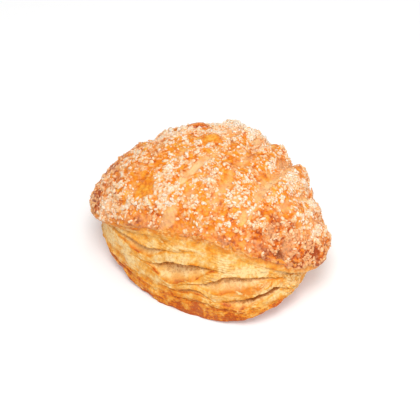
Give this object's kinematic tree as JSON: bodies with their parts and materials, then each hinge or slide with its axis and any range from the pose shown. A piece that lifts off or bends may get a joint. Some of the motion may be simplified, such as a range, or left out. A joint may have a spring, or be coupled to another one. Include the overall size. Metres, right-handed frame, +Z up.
{
  "type": "sugared puff pastry",
  "caption": "Baked puff pastry: a domed, slashed top sheet crusted with coarse sugar over a flaky side that gapes between its leaves.",
  "frame": {"origin": "on the surface the pastry lies on, under the middle of its bounding box", "axes": "+Z up; +X along the pastry's length, towards its right end; -Y towards the open front, where the leaves gape"},
  "size_m": [0.1249, 0.0963, 0.0624],
  "materials": {
    "baked_dough": "baked puff pastry: golden brown, matt, crusted with coarse sugar on top and pale yellow between its leaves"
  },
  "bodies": {
    "root": {"pastry": "baked_dough"}
  },
  "joints": []
}
